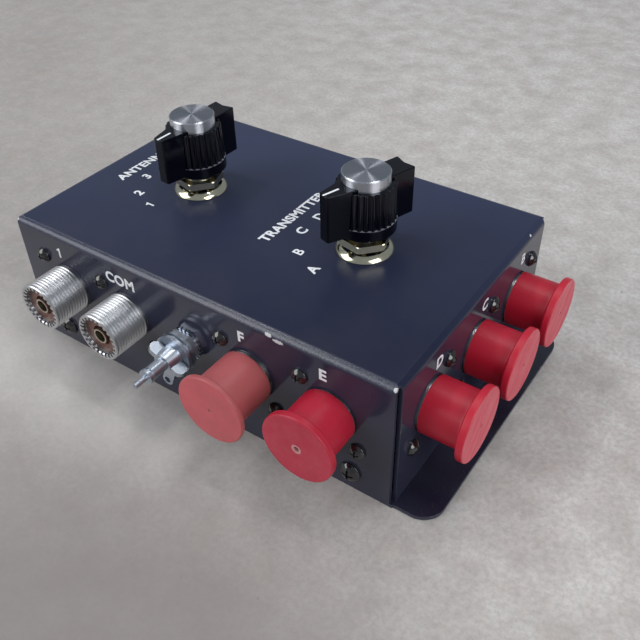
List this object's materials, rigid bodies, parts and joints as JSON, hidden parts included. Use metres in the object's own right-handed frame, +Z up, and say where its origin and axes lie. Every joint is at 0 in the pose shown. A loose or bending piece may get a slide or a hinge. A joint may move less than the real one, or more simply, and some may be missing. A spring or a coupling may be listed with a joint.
{
  "type": "coaxial antenna switch",
  "caption": "Sheet-metal coaxial antenna switch with a pointer dial at each end of its top, threaded sockets on all four sides, dust caps, ground posts and mounting flanges.",
  "frame": {"origin": "middle of the case's underside", "axes": "+X towards the side with sockets B, C and D, -Y towards the front, +Z up"},
  "size_m": [0.1675, 0.134, 0.0714],
  "materials": {
    "case_paint": "satin, nearly black navy",
    "tray_paint": "satin",
    "black_screw": "black oxide",
    "nickel": "nickel plate, dulled",
    "insulator": "phenolic",
    "contact_plate": "tarnished plate",
    "plain_steel": "zinc plate",
    "cap_red": "vinyl, soft sheen",
    "cap_faded": "vinyl, sun-faded",
    "knob_black": "gloss",
    "spun_aluminium": "spun",
    "brass": "machined",
    "yellow_zinc": "yellow zinc plate",
    "rotor_plastic": "moulded",
    "phenolic": "phenolic sheet",
    "copper": "bare copper"
  },
  "bodies": {
    "case": {"top_cover": "case_paint", "bottom_cover": "tray_paint", "case_screws": "black_screw", "socket_1": "nickel", "socket_com_front": "nickel", "socket_f": "nickel", "socket_e": "nickel", "socket_d": "nickel", "socket_c": "nickel", "socket_b": "nickel", "socket_a": "nickel", "socket_com_back": "nickel", "socket_6": "nickel", "socket_5": "nickel", "socket_4": "nickel", "socket_3": "nickel", "socket_2": "nickel", "socket_insulators": "insulator", "socket_contacts": "contact_plate", "socket_screws": "black_screw", "socket_nuts": "plain_steel", "ground_studs": "plain_steel", "ground_lock_washers": "plain_steel", "ground_nuts": "plain_steel", "ground_inner_washers": "plain_steel", "ground_lugs": "plain_steel", "bushings": "yellow_zinc", "lock_washers": "yellow_zinc", "panel_nuts": "yellow_zinc", "detent_balls": "plain_steel", "detent_springs": "plain_steel", "stator_discs": "phenolic", "fixed_contacts": "contact_plate", "deck_spacers": "plain_steel", "deck_screws": "plain_steel", "bus_wires": "copper"},
    "left_dial": {"knob_left": "knob_black", "knob_disc_left": "spun_aluminium", "knob_insert_left": "brass", "set_screw_left": "black_screw", "shaft_left": "plain_steel", "rotor_left": "rotor_plastic", "wiper_left": "contact_plate"},
    "right_dial": {"knob_right": "knob_black", "knob_disc_right": "spun_aluminium", "knob_insert_right": "brass", "set_screw_right": "black_screw", "shaft_right": "plain_steel", "rotor_right": "rotor_plastic", "wiper_right": "contact_plate"},
    "dust_cap_f": {"cap_f": "cap_faded"},
    "dust_cap_e": {"cap_e": "cap_red"},
    "dust_cap_d": {"cap_d": "cap_red"},
    "dust_cap_c": {"cap_c": "cap_red"},
    "dust_cap_b": {"cap_b": "cap_red"},
    "washer_front": {"ground_washer_front": "plain_steel"},
    "wing_front": {"wing_nut_front": "plain_steel"},
    "washer_back": {"ground_washer_back": "plain_steel"},
    "wing_back": {"wing_nut_back": "plain_steel"}
  },
  "joints": [
    {"name": "left_dial_turn", "type": "hinge", "parent": "case", "child": "left_dial", "pos_m": [-0.03175, 0, 0.05], "axis": [0, 0, -1], "range_deg": [0, 150]},
    {"name": "right_dial_turn", "type": "hinge", "parent": "case", "child": "right_dial", "pos_m": [0.03175, 0, 0.05], "axis": [0, 0, -1], "range_deg": [0, 150]},
    {"name": "dust_cap_f_pull", "type": "slide", "parent": "case", "child": "dust_cap_f", "axis": [0, -1, 0], "range_m": [-0.0005, 0.03]},
    {"name": "dust_cap_e_pull", "type": "slide", "parent": "case", "child": "dust_cap_e", "axis": [0, -1, 0], "range_m": [0, 0.03]},
    {"name": "dust_cap_d_pull", "type": "slide", "parent": "case", "child": "dust_cap_d", "axis": [1, 0, 0], "range_m": [0, 0.03]},
    {"name": "dust_cap_c_pull", "type": "slide", "parent": "case", "child": "dust_cap_c", "axis": [1, 0, 0], "range_m": [0, 0.03]},
    {"name": "dust_cap_b_pull", "type": "slide", "parent": "case", "child": "dust_cap_b", "axis": [1, 0, 0], "range_m": [0, 0.03]},
    {"name": "washer_front_slide", "type": "slide", "parent": "case", "child": "washer_front", "axis": [0, -1, 0], "range_m": [0, 0.0048]},
    {"name": "wing_front_turn", "type": "hinge", "parent": "washer_front", "child": "wing_front", "pos_m": [-0.0005, -0.0535, 0.026], "axis": [0, -1, 0], "range_deg": [0, 2520]},
    {"name": "washer_back_slide", "type": "slide", "parent": "case", "child": "washer_back", "axis": [0, 1, 0], "range_m": [0, 0.0048]},
    {"name": "wing_back_turn", "type": "hinge", "parent": "washer_back", "child": "wing_back", "pos_m": [0.0005, 0.0535, 0.026], "axis": [0, 1, 0], "range_deg": [0, 2520]}
  ],
  "couplings": [
    {"joint": "wing_front_turn", "follows": "washer_front_slide", "rad_per_m": 8976},
    {"joint": "wing_back_turn", "follows": "washer_back_slide", "rad_per_m": 8976}
  ]
}
